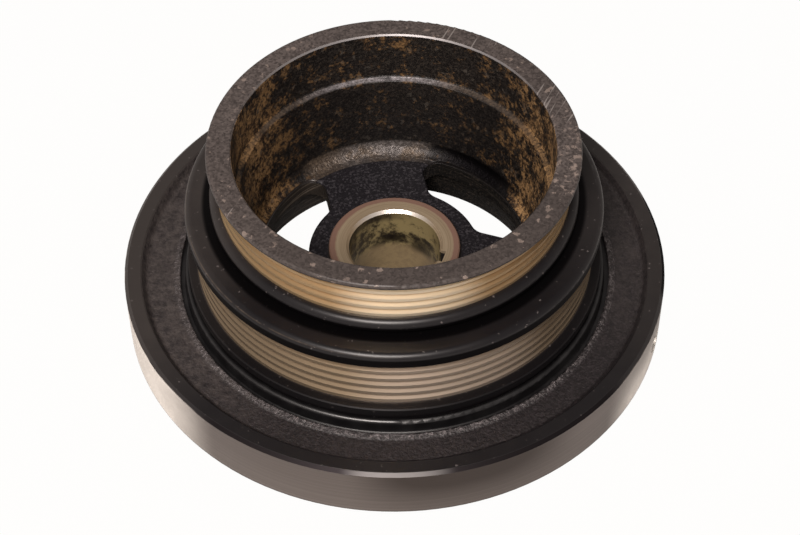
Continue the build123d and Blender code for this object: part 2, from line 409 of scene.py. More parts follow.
class Ingredients:
    """The place on the section, and the textures that all finishes of one material share."""

    def __init__(self, graph, sand_size):
        self.graph = graph
        place = graph.use("Turned Place")
        self.place = place["Place"]
        self.radius = place["Radius"]
        self.height = place["Height"]
        self.sand = graph.noise(self.place, sand_size, detail=3.0, roughness=0.7)
        self.grit = graph.cells(self.place, GRIT)
        self.flecks = graph.cells(self.place, FLECKS)
        self.spots = graph.noise(self.place, SPOTS, detail=4.0, roughness=0.7)
        self.cloud = graph.noise(self.place, CLOUD, detail=5.0, roughness=0.6)
        self.lathe = wrapped(graph, *LATHE)
        self.lathe_marks = graph.product(self.lathe, LATHE_DEPTH)

    def zone(self, radii, heights, soft=0.15):
        """White inside a range of radii and heights."""
        return self.graph.product(
            band(self.graph, self.radius, *radii, soft), band(self.graph, self.height, *heights, soft)
        )


def new_material(name):
    """A material with one Principled shader: its graph and that shader."""
    material = bpy.data.materials.new(name)
    material.use_nodes = True
    material.node_tree.nodes.clear()
    graph = Graph(material.node_tree)
    shader = graph.add("ShaderNodeBsdfPrincipled")
    output = graph.add("ShaderNodeOutputMaterial")
    graph.feed(output.inputs["Surface"], shader.outputs["BSDF"])
    return material, graph, shader


def apply_finish(graph, shader, surface, shine=0.5):
    """Feeds a finish into the shader, its height through a Bump node; shine is the level of bare paint."""
    shader.inputs["Specular IOR Level"].default_value = shine
    bump = graph.add("ShaderNodeBump")
    bump.inputs["Distance"].default_value = MILLIMETRE
    graph.feed(bump.inputs["Height"], surface["height"])
    graph.feed(shader.inputs["Base Color"], surface["colour"])
    graph.feed(shader.inputs["Roughness"], surface["roughness"])
    graph.feed(shader.inputs["Metallic"], surface["metallic"])
    graph.feed(shader.inputs["Normal"], bump.outputs["Normal"])


# --- paints and metals -----------------------------------------------------------------
def satin_paint(graph, look, mix, dust_and_light_level=1.0):
    """Thin satin paint over turned iron: a dusty grey heavier to the left, right and far side, partly dirt
    and partly painted light, light specks and fine lathe marks.
    """
    # Partly dirt, partly painted light: the dusty grey is laid heavier to the left, right and far side,
    # where these faces look lighter.
    dust_and_light_side = graph.weigh(
        0.14, (side(graph, DUST_AND_LIGHT_LEFT), 0.65), (side(graph, DUST_AND_LIGHT_RIGHT), 0.3), (side(graph, DUST_AND_LIGHT_FAR), 0.25)
    )
    dust_and_light = graph.product(graph.blend(mix.cloud, 0.6, 1.4), dust_and_light_side, dust_and_light_level)
    specks = graph.product(graph.rise(mix.grit, 0.975, 0.985), graph.rise(mix.spots, 0.5, 0.58))
    colour = graph.blend(specks, graph.blend(dust_and_light, look.paint, look.paint_dust_and_light), look.speck)
    return finish(colour, roughness=graph.blend(mix.cloud, 0.3, 0.4), height=mix.lathe_marks)


def cast_paint(graph, mix, colour, speck_colour, specks, depth, roughness=0.5):
    """Paint over a sandy cast surface, rubbed light on a share of its grains."""
    grains = graph.rise(mix.grit, 1.0 - 1.4 * specks, 1.0)
    return finish(
        graph.blend(grains, colour, speck_colour), roughness, height=graph.product(mix.sand, depth)
    )


def machined_iron(graph, mix, low, high, roughness, metallic):
    """Turned iron with fine lathe marks."""
    tone = graph.rise(mix.lathe, *NOISE_RANGE)
    return finish(graph.blend(tone, low, high), roughness, metallic, graph.product(mix.lathe, 0.015))


def sparkling_iron(graph, look, mix):
    """Bare sandy iron that glints on its grains, with some rust."""
    tint = graph.maths("MAXIMUM", graph.rise(mix.cloud, 0.45, 0.65), side(graph, FILLET_BROWN))
    bright = graph.blend(tint, look.grain_iron, look.grain_brown)
    grains = graph.blend(0.3, graph.product(mix.grit, mix.grit), 1.0)
    colour = graph.blend(grains, look.grain_pit, bright)
    return finish(colour, roughness=0.36, metallic=0.3, height=graph.product(mix.sand, 0.6))


def painted_shade(look, roughness, height):
    """Painted shade: a black sheet laid on shaded faces, many of them looking down; as a metal it hardly
    mirrors the pale floor.
    """
    return finish(look.painted_shade, roughness, SHADE_METALLIC, height)


def belt_steel(graph, mix, colours, crest, highlight_mark):
    """Steel polished by the belt: bright round a painted highlight in front, under a film elsewhere that is
    partly stain and partly painted shade, with groove bottoms that are partly deposit and partly painted
    shade.
    """
    bright, stain, residue_and_shade = colours
    # Painted highlight: bright steel only round the mark in front, where the track catches the light; the
    # film elsewhere is partly stain, partly painted shade.
    film = graph.weigh((inverse(graph, side(graph, highlight_mark)), 0.9), (mix.cloud, 0.1))
    stain = graph.blend(graph.product(side(graph, TRACK_RESIDUE), 0.25), stain, residue_and_shade)
    # The groove bottoms darken: partly deposit, partly painted shade in the creases.
    bottom = inverse(graph, graph.rise(mix.radius, crest - GROOVE_DEPTH, crest - 0.6))
    colour = graph.blend(graph.product(bottom, 0.75), graph.blend(film, bright, stain), residue_and_shade)
    return finish(colour, graph.blend(mix.lathe, 0.3, 0.46), metallic=0.82, height=mix.lathe_marks)


# --- hub -------------------------------------------------------------------------------
def hub_finish(graph, look):
    """Every surface of the hub, chosen by its place on the turned section."""
    mix = Ingredients(graph, HUB_SAND)
    surface = satin_paint(graph, look, mix)
    outside = (hub_tracks, hub_flanges, hub_rim)
    inside = (hub_cup, hub_fillet, hub_ledge, hub_web, hub_recess, hub_boss, hub_bore)
    for step in (*outside, *inside):
        surface = step(graph, look, mix, surface)
    return surface


def hub_tracks(graph, look, mix, surface):
    """Adds the two belt tracks."""
    front_colours = (look.front_steel, look.front_stain, look.front_residue_and_shade)
    rear_colours = (look.rear_steel, look.rear_stain, look.rear_residue_and_shade)
    for colours, crest, track, highlight_mark in (
        (front_colours, FRONT_CREST, FRONT_TRACK, FRONT_TRACK_HIGHLIGHT),
        (rear_colours, REAR_CREST, REAR_TRACK, REAR_TRACK_HIGHLIGHT),
    ):
        steel = belt_steel(graph, mix, colours, crest, highlight_mark)
        surface = cover(graph, surface, steel, mix.zone((crest - UNDER_GROOVES, crest + 0.3), track))
    return surface


def hub_flanges(graph, look, mix, surface):
    """Adds the light, paint-bare edge of the middle flange, and painted shade: a black sheet on the middle
    flange's outer face, under the collar, on the near part of the flange top and on the rear flange.
    """
    patch = graph.product(
        graph.rise(mix.radius, FLANGE_OUTER - 0.8, FLANGE_OUTER - 0.3),
        band(graph, mix.height, FLANGE_TOP - 0.9, FLANGE_TOP + 0.5, 0.5),
        graph.rise(mix.cloud, 0.35, 0.6),
        side(graph, FLANGE_RUBBED),
    )
    edge = finish(look.rubbed_edge, roughness=0.45, metallic=0.3)
    surface = cover(graph, surface, edge, patch)
    # Painted shade: the black sheet darkens the middle flange's outer face, the neck under the collar, the
    # near flange top and the rear flange.
    below_flange = mix.zone((FLANGE_OUTER - 0.6, FLANGE_OUTER + 0.4), (REAR_TRACK[1], FLANGE_TOP - 2.0), 0.8)
    neck = band(graph, mix.radius, *NECK, 1.6)
    flange = band(graph, mix.radius, NECK[1], REAR_CREST, 2.0)
    flange_near = graph.product(flange, side(graph, FLANGE_SHADE), 0.4)
    under = band(graph, mix.height, FLANGE_TOP - 0.2, COLLAR_MIDDLE, 0.6)
    below_collar = graph.product(graph.maths("MAXIMUM", neck, flange_near), under)
    rear_zone = mix.zone((REAR_CREST + 0.4, REAR_FLANGE_OUTER), (REAR_FLANGE_FOOT, REAR_TRACK[0]))
    rear_flange = graph.product(rear_zone, 0.4)
    shaded = graph.total(below_flange, below_collar, rear_flange)
    return cover(graph, surface, painted_shade(look, 0.5, mix.lathe_marks), shaded)


def hub_rim(graph, look, mix, surface):
    """Adds the front face of the cup: grey paint with wear, dusty blotches that are partly painted light,
    chips on one side and scratches on another.
    """
    dust_and_light = rim_dust_and_light_share(graph, mix)
    # Partly dirt, partly painted light: the blotches are heavier where the face looks lighter.
    colour = graph.blend(dust_and_light, look.rim_dark, look.rim_dust_and_light)
    colour = graph.blend(graph.product(mix.grit, 0.16), colour, look.rim_grain)
    dots = graph.product(graph.rise(mix.flecks, 0.93, 0.96), graph.rise(mix.spots, 0.45, 0.55))
    colour = graph.blend(graph.product(dots, 0.6), colour, look.chip)
    reach = graph.weigh(
        (side(graph, CHIPS_RIGHT), 0.34),
        (side(graph, CHIPS_FAR_LEFT), 0.14),
        (side(graph, CHIPS_NEAR), 0.1),
    )
    chips = broken(graph, mix.spots, graph.total(reach, 0.26), 0.1)
    colour = graph.blend(graph.product(chips, 0.65), colour, look.chip)
    scratches = rim_scratches(graph, mix)
    colour = graph.blend(graph.product(scratches, 0.6), colour, look.scratch)
    height = graph.weigh((mix.sand, 0.05), (chips, -0.06), (scratches, -0.03))
    rim = finish(colour, graph.blend(dust_and_light, 0.42, 0.55), graph.product(scratches, 0.6), height)
    rim_zone = mix.zone((RIM_INNER, RIM_OUTER + 0.5), (RIM_TOP - 1.3, RIM_TOP + 1.0), 0.5)
    return cover(graph, surface, rim, rim_zone)


def rim_dust_and_light_share(graph, mix):
    """How much dusty grey lies on the front face of the cup, in blotches; its share by direction is partly
    dirt and partly painted light.
    """
    share = graph.weigh(
        0.14,
        (side(graph, RIM_DUST_AND_LIGHT_FAR), 0.55),
        (side(graph, RIM_DUST_AND_LIGHT_RIGHT), 0.6),
        (side(graph, RIM_DUST_AND_LIGHT_FAR_LEFT), 0.2),
        (side(graph, RIM_DUST_AND_LIGHT_LEFT), 0.35),
    )
    return graph.product(graph.rise(graph.weigh((mix.spots, 0.6), (mix.grit, 0.4)), 0.15, 0.85), share)


def rim_scratches(graph, mix):
    """Straight hairs across the front face of the cup, all in one direction."""
    turned = graph.add("ShaderNodeVectorRotate", rotation_type="Z_AXIS")
    graph.feed(turned.inputs["Vector"], mix.place)
    graph.feed(turned.inputs["Angle"], math.radians(-SCRATCH_ANGLE))
    hairs = graph.noise(graph.vector("MULTIPLY", turned.outputs[0], SCRATCH_STRETCH), 1.0, detail=0.0)
    amount = graph.weigh((side(graph, SCRATCHES_FAR), 0.4), (side(graph, SCRATCHES_RIGHT), 0.48))
    return broken(graph, hairs, amount, 0.1)


def hub_cup(graph, look, mix, surface):
    """Adds the inside of the cup: sandy paint that rust has come through, most on the two sides, where the
    rust turns pale as painted sheen, and darker low in the cup as painted shade.
    """
    ends = graph.total(side(graph, RUST_LEFT), side(graph, RUST_RIGHT))
    rust, shade = rust_fields(graph, mix, ends)
    # Partly rust, partly painted sheen: the rust turns pale gold at the two sides, where the walls look
    # lighter.
    ochre = graph.blend(graph.product(ends, ends), look.rust_ochre, look.pale_rust_and_sheen)
    paint = graph.blend(graph.product(mix.grit, mix.grit), look.wall_paint, look.wall_grain)
    colour = graph.blend(rust, paint, graph.blend(shade, look.rust_dark, ochre))
    flecks = graph.product(graph.rise(mix.flecks, 0.86, 0.98), graph.rise(mix.spots, 0.48, 0.6))
    colour = graph.blend(graph.product(flecks, 0.6), colour, look.wall_fleck)
    # Painted shade: low in the cup, away from the two sides, the colour goes back towards dark paint.
    below_ledge = inverse(graph, graph.rise(mix.height, LEDGE_FOOT - 4.0, LEDGE_TOP + 1.0))
    dark = graph.product(below_ledge, inverse(graph, ends))
    colour = graph.blend(graph.product(dark, 0.4), colour, look.wall_paint)
    height = graph.weigh((mix.sand, 0.3), (mix.spots, 0.3))
    wall = finish(colour, roughness=graph.blend(mix.cloud, 0.36, 0.6), height=height)
    wall_zone = mix.zone((BOSS_OUTER + 1.0, RIM_INNER + 0.1), (WEB_FRONT + 0.1, RIM_TOP))
    return cover(graph, surface, wall, wall_zone)


def rust_fields(graph, mix, ends):
    """Where rust shows inside the cup, and how light it is there."""
    large, small, fine = (graph.rise(texture, *NOISE_RANGE) for texture in (mix.cloud, mix.spots, mix.sand))
    streaks = wrapped(graph, *RUST_STREAKS)
    patches = graph.weigh((large, 0.3), (small, 0.35), (fine, 0.2), (streaks, 0.15))
    at_mouth = band(graph, mix.height, RIM_TOP - 6.0, RIM_TOP + 3.0, 6.0)
    more = graph.weigh(
        (ends, 0.24), (side(graph, RUST_FAR), at_mouth, 0.14), (side(graph, RUST_FAR_LEFT), 0.08)
    )
    rust = graph.rise(graph.total(patches, more), 0.54, 0.86)
    shade = graph.rise(graph.weigh((fine, 0.4), (mix.grit, 0.25), (large, 0.35)), 0.3, 0.8)
    return rust, shade


def hub_fillet(graph, look, mix, surface):
    """Adds the fillet at the foot of the cup: bare iron that glints only towards the far side, partly a
    painted highlight, and a black sheet in the corner towards the right as painted shade.
    """
    fillet_zone = mix.zone((FILLET_FOOT, WALL_TOP), (WEB_FRONT - 0.1, WEB_FRONT + 4.6), 1.6)
    # Partly painted highlight: the bare glinting iron is laid only in the sector where the fillet catches
    # the light.
    bare = graph.product(fillet_zone, graph.rise(side(graph, FILLET_HIGHLIGHT), 0.05, 0.6))
    surface = cover(graph, surface, sparkling_iron(graph, look, mix), bare)
    # Painted shade: a black sheet on the fillet towards the right, where it looks dark.
    shaded = graph.product(fillet_zone, side(graph, FILLET_SHADE))
    return cover(graph, surface, painted_shade(look, 0.5, graph.product(mix.sand, 0.3)), shaded)


def hub_ledge(graph, look, mix, surface):
    """Adds the ledge inside the cup, with bare grey grains on the far side as a partly painted highlight,
    and the chamfer of its mouth, lighter towards the far side as a partly painted highlight.
    """
    ends = graph.total(side(graph, LEDGE_LEFT), side(graph, LEDGE_RIGHT))
    # The ledge turns pale rust at the two sides, partly painted sheen, and grey on the far side, partly a
    # painted highlight.
    bright = graph.blend(ends, look.ledge_brown, look.pale_rust_and_sheen)
    bright = graph.blend(side(graph, LEDGE_HIGHLIGHT), bright, look.ledge)
    grains = graph.weigh((mix.spots, 0.4), (mix.grit, 0.6))
    colour = graph.blend(grains, look.grain_pit, bright)
    patch = finish(colour, roughness=0.4, metallic=0.3, height=graph.product(mix.sand, 0.1))
    ledge_zone = mix.zone((WALL_TOP + 0.1, RIM_INNER - 0.4), (LEDGE_FOOT, LEDGE_TOP), 0.6)
    surface = cover(graph, surface, patch, graph.product(ledge_zone, graph.rise(mix.cloud, 0.3, 0.5), 0.9))
    # Partly painted highlight: the mouth chamfer is lighter towards the far side, where it faces the light.
    chamfer = finish(look.mouth_chamfer, roughness=0.4, metallic=0.3, height=graph.product(mix.sand, 0.03))
    chamfer_zone = mix.zone(
        (RIM_INNER + 0.03, RIM_INNER + MOUTH_CHAMFER), (RIM_TOP - MOUTH_CHAMFER, RIM_TOP + 0.1), 0.1
    )
    return cover(graph, surface, chamfer, graph.product(chamfer_zone, side(graph, MOUTH_HIGHLIGHT)))


def hub_web(graph, look, mix, surface):
    """Adds the blue-black web."""
    web = cast_paint(graph, mix, look.web_paint, look.web_speck, specks=0.3, depth=0.45)
    web_zone = mix.zone((BOSS_OUTER, FILLET_FOOT + 0.2), (WEB_FRONT - 0.9, WEB_FRONT + 0.12), 0.3)
    return cover(graph, surface, web, web_zone)


def hub_recess(graph, look, mix, surface):
    """Adds the brown walls of the windows and the rear recess, with turned arcs, both lighter and more
    marked on the left as painted light.
    """
    # Painted light: the recess is lighter on the left, with its turned arcs showing more there.
    left = graph.product(side(graph, RECESS_LIT_LEFT), 0.8)
    recess = cast_paint(graph, mix, look.recess, look.recess_grain_and_light, specks=0.2, depth=0.3, roughness=0.6)
    recess["colour"] = graph.blend(left, recess["colour"], look.recess_grain_and_light)
    arcs = graph.product(graph.rise(wrapped(graph, *RECESS_ARCS), 0.54, 0.68), graph.total(0.15, left))
    recess["colour"] = graph.blend(arcs, recess["colour"], look.recess_arc)
    inside = mix.zone((BOSS_OUTER - 0.3, RECESS_OUTER + 0.6), (-1.0, WEB_FRONT - 1.0))
    return cover(graph, surface, recess, inside)


def hub_boss(graph, look, mix, surface):
    """Adds the turned face round the bore, its chamfer whitened on the far side as a painted highlight, and
    its copper band.
    """
    face = machined_iron(graph, mix, look.boss_low, look.boss_high, roughness=0.42, metallic=0.6)
    face_zone = mix.zone((INSIDE_BORE, BOSS_OUTER + 0.3), (BOSS_TOP - 1.3, BOSS_TOP + 1.0))
    surface = cover(graph, surface, face, face_zone)
    # Painted highlight: the chamfer is whitened only on the far side, where it catches the light.
    chamfer_zone = mix.zone((INSIDE_BORE, BORE + BORE_CHAMFER), (BOSS_TOP - BORE_CHAMFER, BOSS_TOP + 0.1))
    bright = dict(face, colour=look.bore_chamfer, roughness=0.34)
    surface = cover(graph, surface, bright, graph.product(chamfer_zone, side(graph, BORE_CHAMFER_HIGHLIGHT)))
    copper = dict(face, colour=look.copper, metallic=0.35)
    ragged_radius = graph.weigh(mix.radius, (mix.cloud, 1.4))
    copper_zone = graph.product(graph.rise(ragged_radius, *COPPER_INNER), face_zone)
    return cover(graph, surface, copper, copper_zone)


def hub_bore(graph, look, mix, surface):
    """Adds the bore: a blotchy olive film, paler near the top towards the right and darkened along its upper
    edge as painted light and shadow, dark stains and a lighter rear end.
    """
    # Painted light: the film is paler near the top towards the right, where the upper edge carries no
    # painted shadow.
    pale = graph.product(side(graph, BORE_PALE), graph.rise(mix.height, *BORE_PALE_START), 0.14)
    blotches = graph.weigh((mix.spots, 0.6), (mix.cloud, 0.4), pale)
    film = graph.blend(graph.rise(blotches, 0.42, 0.58), look.oil_dark, look.oil_light)
    # Painted shadow: the upper edge of the bore darkens, except towards the right.
    at_edge = band(graph, mix.height, BORE_EDGE_FOOT, BOSS_TOP, 2.5)
    edge_shadow = graph.product(at_edge, inverse(graph, side(graph, BORE_EDGE_UNSHADED)))
    film = graph.blend(graph.product(edge_shadow, 0.8), film, look.oil_dark)
    # Lighter film towards the rear end of the bore.
    patch = inverse(graph, graph.rise(graph.weigh(mix.height, (mix.spots, 4.0)), *BORE_LOWER_END))
    film = graph.blend(graph.product(patch, 0.8), film, look.oil_lower_end)
    stain = graph.weigh(
        (side(graph, BORE_FAR_STAIN), band(graph, mix.height, *FAR_STAIN_HEIGHTS, 3.0), 0.95),
        (side(graph, BORE_RIGHT_STAIN), band(graph, mix.height, *RIGHT_STAIN_HEIGHTS, 4.0), 0.8),
    )
    film = graph.blend(stain, film, look.oil_stain)
    oil = finish(film, roughness=0.42, metallic=0.3, height=graph.product(mix.spots, 0.1))
    return cover(graph, surface, oil, mix.zone((INSIDE_BORE, BORE + 0.5), (-1.0, BOSS_TOP - BORE_CHAMFER)))


# --- ring and rubber -------------------------------------------------------------------
def ring_finish(graph, look):
    """Every surface of the inertia ring."""
    mix = Ingredients(graph, RING_SAND)
    surface = satin_paint(graph, look, mix, dust_and_light_level=1.4)
    for step in (ring_dish, ring_lip, ring_wall, ring_edge):
        surface = step(graph, look, mix, surface)
    return surface


def ring_dish(graph, look, mix, surface):
    """Adds the cast annulus, mottled lighter to the left and right: partly real mottles, partly painted
    light.
    """
    dish = cast_paint(graph, mix, look.dish, look.dish_grain, specks=0.45, depth=0.5)
    # Partly real mottles, partly painted light: the lighter mottles gather on the left and right, where the
    # annulus looks lighter.
    pale = graph.weigh(0.04, (side(graph, DISH_LEFT), 0.85), (side(graph, DISH_RIGHT), 0.35))
    mottling_and_light = graph.product(graph.rise(mix.spots, 0.2, 0.8), pale)
    dish["colour"] = graph.blend(mottling_and_light, dish["colour"], look.dish_mottle_and_light)
    dish_zone = mix.zone((RING_INNER - 1.0, RING_RIM_INNER - 0.2), (DISH_TOP - 7.0, RING_TOP - 0.2))
    return cover(graph, surface, dish, dish_zone)


def ring_lip(graph, look, mix, surface):
    """Adds the rough bare grains of the inner lip."""
    lip_outer = RING_INNER + RING_LIP_WIDTH
    lip_zone = mix.zone((RING_INNER - 0.1, lip_outer - 0.6), (DISH_TOP, RING_LIP_TOP + 0.4), 0.5)
    bare = finish(look.lip_iron, roughness=0.36, metallic=0.3, height=graph.product(mix.sand, 0.8))
    return cover(graph, surface, bare, graph.product(lip_zone, mix.grit, graph.rise(mix.sand, 0.4, 0.56)))


def ring_wall(graph, look, mix, surface):
    """Adds the bare, wear-marked side of the ring: pale ends that are painted reflection, a brown stain made
    darker towards the top as painted shade, a dark foot that is a painted contact shadow, paint left at the
    top, and a black sheet on the right end as painted shade.
    """
    bare = machined_iron(graph, mix, look.ring_low, look.ring_high, roughness=0.4, metallic=0.4)
    upper = graph.rise(mix.height, RING_FOOT + 2.0, RING_TOP - 2.0)
    # Partly stain, partly painted shade: the brown stain in front grows stronger towards the top of the
    # side, which looks darker there.
    brown = graph.weigh(
        (side(graph, RING_STAIN_AND_SHADE), graph.weigh(0.35, (upper, 0.6))),
        (side(graph, RING_STAIN_AND_SHADE_WIDE), upper, 0.25),
    )
    bare["colour"] = graph.blend(brown, bare["colour"], look.ring_stain_and_shade)
    # Painted reflection: the near-white ends stand in for the floor mirrored at grazing angles, weaker
    # towards the top on the right.
    right = graph.product(side(graph, RING_SHEEN_RIGHT), inverse(graph, graph.product(upper, 0.75)))
    pale = graph.product(graph.total(side(graph, RING_SHEEN_LEFT), right), graph.blend(mix.cloud, 0.6, 1.4))
    bare["colour"] = graph.blend(pale, bare["colour"], look.ring_sheen)
    # Painted contact shadow: the lowest one to two millimetres of the side darken where the ring meets the
    # floor.
    foot = inverse(graph, graph.rise(mix.height, RING_FOOT + 0.6, RING_FOOT + 1.9))
    bare["colour"] = graph.blend(foot, bare["colour"], look.ring_contact_shadow)
    paint_edge = graph.weigh(mix.height, (wrapped(graph, *PAINT_WAVES), 2.2))
    below_paint = inverse(graph, graph.rise(paint_edge, RING_TOP - 0.3, RING_TOP + 0.1))
    # The band straight in front stays bare up to the top edge, under the chamfer's painted highlight.
    bare_share = graph.maths("MAXIMUM", below_paint, side(graph, RING_EDGE_HIGHLIGHT))
    wall_radii = (RING_OUTER - RING_CHAMFER + 0.1, BEYOND_RING)
    wall_zone = mix.zone(wall_radii, (RING_FOOT - 1.0, RING_TOP - 0.05))
    surface = cover(graph, surface, bare, graph.product(wall_zone, bare_share))
    # Painted shade: a dark, hardly mirroring sheet on the right end of the side, which would otherwise
    # mirror the pale floor.
    right_end = graph.rise(side(graph, RING_RIGHT_SHADE), 0.1, 0.6)
    right_shade = graph.product(wall_zone, right_end, graph.blend(mix.cloud, 0.7, 1.0))
    return cover(graph, surface, painted_shade(look, 0.95, mix.lathe_marks), right_shade)


def ring_edge(graph, look, mix, surface):
    """Adds the front edge of the ring: a black, hardly mirroring sheet as painted shade, and a light bare
    band straight in front that is partly a painted highlight.
    """
    # Partly painted highlight: the light bare band is placed and tinted where the chamfer catches the light;
    # the rest of the edge carries painted shade.
    patch = side(graph, RING_EDGE_HIGHLIGHT)
    colour = graph.blend(patch, look.edge_shade, look.ring_edge)
    edge = finish(colour, roughness=0.42, metallic=graph.blend(patch, SHADE_METALLIC, 0.3))
    edge_radii = (RING_OUTER - RING_CHAMFER + 0.05, BEYOND_RING)
    edge_zone = mix.zone(edge_radii, (RING_TOP - RING_CHAMFER, RING_TOP - 0.05), 0.1)
    reach = graph.rise(side(graph, RING_EDGE_SHADE_SPAN), 0.0, 0.3)
    return cover(graph, surface, edge, graph.product(edge_zone, reach))


def rubber_finish(graph, look):
    """Moulded rubber with a grey bloom."""
    place = graph.use("Turned Place")["Place"]
    bloom = graph.noise(place, BLOOM, detail=5.0)
    skin = graph.noise(place, RUBBER_SKIN)
    colour = graph.blend(graph.rise(bloom, 0.4, 0.75), look.rubber, look.bloom)
    return finish(colour, roughness=graph.blend(bloom, 0.34, 0.42), height=graph.product(skin, 0.02))


# --- settings --------------------------------------------------------------------------
def colour_setting(name, description, value):
    return FloatVectorProperty(
        name=name, description=description, subtype="COLOR", size=3, min=0.0, max=1.0, default=value
    )


class BalancerLook(bpy.types.PropertyGroup):
    """Colours of the balancer."""

    paint: colour_setting("Paint", "Satin paint on turned faces", (0.0036, 0.0034, 0.0048))
    # Dusty grey that is partly dirt and partly painted light on the lighter sides.
    paint_dust_and_light: colour_setting("Dusty paint", "The same paint under dust", (0.034, 0.029, 0.027))
    speck: colour_setting("Specks", "Small light marks on the paint", (0.09, 0.08, 0.078))
    rubbed_edge: colour_setting("Rubbed edge", "Edge of the middle flange", (0.22, 0.165, 0.12))
    rim_dark: colour_setting("Rim, dark", "Front face of the cup", (0.033, 0.027, 0.025))
    # Dusty grey of the front face, partly dirt and partly painted light.
    rim_dust_and_light: colour_setting("Rim, light", "Dust on that face", (0.118, 0.098, 0.092))
    rim_grain: colour_setting("Rim grain", "Light grain of that face", (0.20, 0.17, 0.155))
    chip: colour_setting("Chips", "Rusty metal where the paint has chipped", (0.27, 0.215, 0.185))
    scratch: colour_setting("Scratches", "Bright scratches", (0.55, 0.50, 0.47))
    # Light chamfer of the mouth, partly a painted highlight on the far side.
    mouth_chamfer: colour_setting("Mouth chamfer", "Worn edge of the mouth", (0.21, 0.20, 0.20))
    wall_paint: colour_setting("Wall paint", "Inside of the cup", (0.0035, 0.0028, 0.0028))
    wall_grain: colour_setting("Wall grain", "Light grains inside the cup", (0.024, 0.020, 0.017))
    wall_fleck: colour_setting("Wall flecks", "Grey flecks inside the cup", (0.075, 0.066, 0.056))
    rust_dark: colour_setting("Dark rust", "Brown rust", (0.034, 0.018, 0.0095))
    rust_ochre: colour_setting("Ochre rust", "Light rust", (0.15, 0.086, 0.036))
    # Pale rust, lightened at the two sides of the cup and on the ledge as painted sheen.
    pale_rust_and_sheen: colour_setting("Pale rust", "Golden rust at the two sides of the cup", (0.31, 0.185, 0.083))
    ledge_brown: colour_setting("Ledge, brown", "Rusty part of the ledge", (0.11, 0.084, 0.064))
    # Colour of the painted shade: a black sheet on faces that should look black.
    painted_shade: colour_setting("Grime", "Black grime on faces that look down", (0.0045, 0.0038, 0.0045))
    grain_iron: colour_setting("Bare grains", "Bare sandy iron", (0.18, 0.162, 0.155))
    grain_pit: colour_setting("Pits", "Dark pits between the bare grains", (0.020, 0.016, 0.014))
    # Grey of the ledge on the far side, partly a painted highlight.
    ledge: colour_setting("Ledge", "Rubbed ledge inside the cup", (0.33, 0.31, 0.325))
    grain_brown: colour_setting("Brown grains", "The same iron with rust", (0.14, 0.105, 0.076))
    web_paint: colour_setting("Web paint", "Blue-black paint on the web", (0.0085, 0.0076, 0.0098))
    web_speck: colour_setting("Web specks", "Light grains of the web", (0.038, 0.035, 0.040))
    recess: colour_setting("Recess", "Rear recess", (0.003, 0.0024, 0.002))
    # Light grains of the recess, also its painted light on the left.
    recess_grain_and_light: colour_setting("Recess grain", "Light grains of the rear recess", (0.022, 0.017, 0.013))
    recess_arc: colour_setting("Recess arcs", "Turned marks in the rear recess", (0.11, 0.090, 0.070))
    # Bright steel, laid as a painted highlight in front.
    front_steel: colour_setting("Front track", "Track polished by the belt", (0.80, 0.69, 0.52))
    front_stain: colour_setting("Front stain", "Golden film on the front track", (0.50, 0.35, 0.19))
    # Groove bottoms: partly deposit, partly painted shade.
    front_residue_and_shade: colour_setting("Front residue", "Bottom of the front grooves", (0.27, 0.155, 0.075))
    # Bright steel, laid as a painted highlight in front.
    rear_steel: colour_setting("Rear track", "Rear track polished by the belt", (0.50, 0.415, 0.335))
    rear_stain: colour_setting("Rear stain", "Khaki film on the rear track", (0.34, 0.26, 0.172))
    # Groove bottoms: partly deposit, partly painted shade.
    rear_residue_and_shade: colour_setting("Rear residue", "Bottom of the rear grooves", (0.07, 0.05, 0.04))
    boss_low: colour_setting("Boss, dark", "Turned face of the boss, dark marks", (0.41, 0.31, 0.205))
    boss_high: colour_setting("Boss, light", "Turned face of the boss, light marks", (0.53, 0.425, 0.29))
    # Painted highlight on the far part of the bore chamfer.
    bore_chamfer: colour_setting("Bore chamfer", "Bright chamfer of the bore", (0.70, 0.655, 0.60))
    copper: colour_setting("Copper tint", "Outer band of the boss face", (0.252, 0.151, 0.114))
    oil_dark: colour_setting("Oil, dark", "Dark film in the bore", (0.030, 0.022, 0.013))
    oil_light: colour_setting("Oil, light", "Light film in the bore", (0.30, 0.24, 0.115))
    # Lighter film towards the rear end of the bore.
    oil_lower_end: colour_setting("Rubbed bore", "Rear end of the bore", (0.32, 0.24, 0.135))
    oil_stain: colour_setting("Bore stain", "Dark spot in the bore", (0.007, 0.004, 0.002))
    dish: colour_setting("Dish", "Rough annulus of the ring", (0.0085, 0.0066, 0.0074))
    dish_grain: colour_setting("Dish grain", "Light grains of the annulus", (0.020, 0.0158, 0.0175))
    # Lighter mottles of the annulus, partly painted light on the left and right.
    dish_mottle_and_light: colour_setting("Dish mottling", "Lighter areas of the annulus", (0.074, 0.062, 0.058))
    lip_iron: colour_setting("Inner lip", "Bare grains on the inner lip of the ring", (0.13, 0.115, 0.117))
    ring_low: colour_setting("Ring, dark", "Side of the ring, dark marks", (0.125, 0.108, 0.098))
    ring_high: colour_setting("Ring, light", "Side of the ring, light marks", (0.165, 0.143, 0.131))
    # Painted reflection: near-white colour of the side's left and right ends.
    ring_sheen: colour_setting("Ring, pale", "Worn bare left side of the ring", (0.96, 0.915, 0.85))
    # Brown stain colour, also used as painted shade towards the top of the side.
    ring_stain_and_shade: colour_setting("Ring stain", "Brown stain on the side of the ring", (0.038, 0.028, 0.023))
    # Light bare band of the front edge, partly a painted highlight.
    ring_edge: colour_setting("Ring edge", "Rubbed front edge of the ring", (0.14, 0.132, 0.13))
    # Painted shade on the front edge of the ring.
    edge_shade: colour_setting("Ring edge, dark", "Dull front edge of the ring", (0.021, 0.0175, 0.019))
